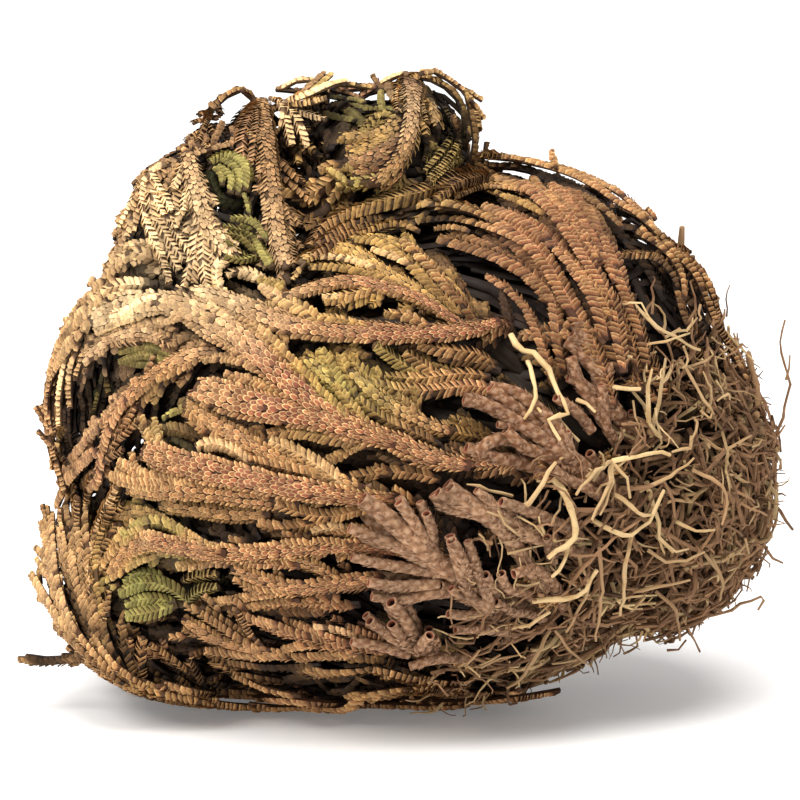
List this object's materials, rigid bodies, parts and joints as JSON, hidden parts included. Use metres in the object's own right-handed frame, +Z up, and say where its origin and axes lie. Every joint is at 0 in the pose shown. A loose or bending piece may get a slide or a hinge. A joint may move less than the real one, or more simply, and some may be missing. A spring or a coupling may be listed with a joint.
{
  "type": "rose of jericho",
  "caption": "Dry rose of Jericho lying on its side: a loose ball of curled scaly fronds, broken frond stubs round the crown and a dome of wiry dead roots.",
  "frame": {"origin": "middle of the footprint's bounding box, on the surface that the ball rests on", "axes": "+X from the curled frond tips to the root dome, +Y to the back, +Z up"},
  "size_m": [0.0754, 0.0602, 0.0637],
  "materials": {
    "frond_tan": "dry matt scale leaves, tan to golden brown",
    "frond_brown": "dry matt scale leaves, brown",
    "frond_red": "dry matt scale leaves, reddish brown with pale margins",
    "frond_gold": "dry matt scale leaves, yellow-gold",
    "frond_green": "dry matt scale leaves, olive green",
    "stub_grey": "dusty grey-brown bark with open reddish ends",
    "root_fibre": "wiry dead roots, brown to straw",
    "crown_bark": "dark fibrous crown"
  },
  "bodies": {
    "root": {"root_crown": "crown_bark", "frond_under_1": "frond_tan", "frond_under_2": "frond_brown", "frond_dome_5": "frond_tan", "frond_upper_2": "frond_tan", "stub_1": "stub_grey", "stub_2": "stub_grey", "stub_3": "stub_grey", "stub_4": "stub_grey", "stub_5": "stub_grey", "stub_6": "stub_grey", "stub_7": "stub_grey", "frond_low_2": "frond_tan", "frond_dome_1": "frond_brown", "frond_dome_2": "frond_brown", "frond_dome_4": "frond_brown", "frond_mid_1": "frond_gold", "frond_mid_3": "frond_red", "frond_mid_4": "frond_red", "frond_mid_5": "frond_gold", "frond_mid_6": "frond_gold", "frond_mid_7": "frond_tan", "frond_mid_8": "frond_red", "frond_mid_9": "frond_tan", "frond_mid_10": "frond_red", "frond_mid_11": "frond_tan", "frond_mid_12": "frond_tan", "frond_bottom_1": "frond_tan", "frond_low_1": "frond_brown", "frond_swirl_1": "frond_tan", "frond_swirl_2": "frond_tan", "frond_swirl_4": "frond_brown", "frond_swirl_5": "frond_gold", "frond_left_1": "frond_tan", "frond_left_2": "frond_brown", "frond_top_1": "frond_green", "frond_top_3": "frond_gold", "frond_upper_1": "frond_brown", "frond_upper_4": "frond_tan", "frond_back_1": "frond_tan", "frond_back_2": "frond_brown", "frond_back_3": "frond_tan", "frond_back_4": "frond_red", "frond_back_5": "frond_tan", "frond_back_6": "frond_brown", "frond_back_7": "frond_gold", "frond_back_8": "frond_tan", "frond_back_9": "frond_brown", "curl_green_1": "frond_green", "curl_green_2": "frond_green", "curl_green_3": "frond_green", "curl_green_5": "frond_green", "root_tuft_end": "root_fibre", "root_tuft_front_low": "root_fibre", "root_tuft_front": "root_fibre", "root_tuft_front_high": "root_fibre", "root_tuft_back_high": "root_fibre", "root_tuft_back": "root_fibre", "root_tuft_back_low": "root_fibre", "root_tuft_under": "root_fibre"}
  },
  "joints": []
}
